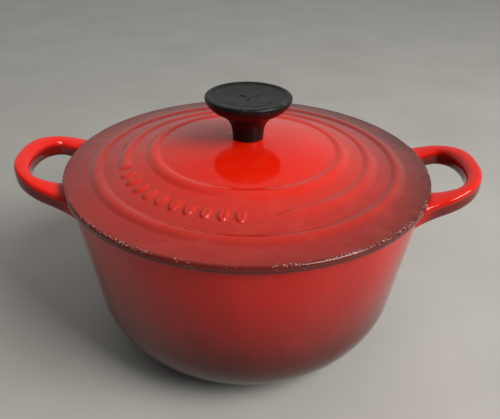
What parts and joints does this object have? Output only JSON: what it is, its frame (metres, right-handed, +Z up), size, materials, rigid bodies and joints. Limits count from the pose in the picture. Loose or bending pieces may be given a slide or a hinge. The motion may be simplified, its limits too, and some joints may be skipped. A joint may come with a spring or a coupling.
{
  "type": "cast iron dutch oven",
  "caption": "Round enamelled cast iron cooking pot with two loop handles, ringed dome lid and screwed-on mushroom knob.",
  "frame": {"origin": "centre of the base plane that the pot stands on", "axes": "+Z up along the pot's axis, +X through the right handle, -Y is the front"},
  "size_m": [0.3196, 0.25, 0.1835],
  "materials": {
    "outer_enamel": "glossy red vitreous enamel fused on cast iron, darker towards the base, bare dark rim",
    "lid_enamel": "glossy red vitreous enamel fused on cast iron, shaded to maroon at the edge, edge slightly chipped",
    "inner_enamel": "glossy sand-coloured vitreous enamel",
    "phenolic": "moulded black phenolic, satin",
    "brass_insert": "turned",
    "steel_screw": "turned stainless steel",
    "steel_washer": "stamped stainless steel"
  },
  "bodies": {
    "pot": {"pot": "outer_enamel", "pot_lining": "inner_enamel"},
    "lid": {"lid": "lid_enamel", "lid_lining": "inner_enamel"},
    "knob": {"knob": "phenolic", "knob_insert": "brass_insert"},
    "washer": {"knob_washer": "steel_washer"},
    "screw": {"knob_screw": "steel_screw"}
  },
  "joints": [
    {"name": "lid_lift", "type": "slide", "parent": "pot", "child": "lid", "axis": [0, 0, 1], "range_m": [0, 0.15]},
    {"name": "knob_turn", "type": "hinge", "parent": "lid", "child": "knob", "pos_m": [0, 0, 0.1535], "axis": [0, 0, 1], "continuous": true},
    {"name": "screw_travel", "type": "slide", "parent": "knob", "child": "washer", "axis": [0, 0, -1], "range_m": [0, 0.012]},
    {"name": "screw_turn", "type": "hinge", "parent": "washer", "child": "screw", "pos_m": [0, 0, 0.1453], "axis": [0, 0, -1], "range_deg": [0, 4320]}
  ],
  "couplings": [
    {"joint": "screw_turn", "follows": "screw_travel", "rad_per_m": 6283.2}
  ]
}
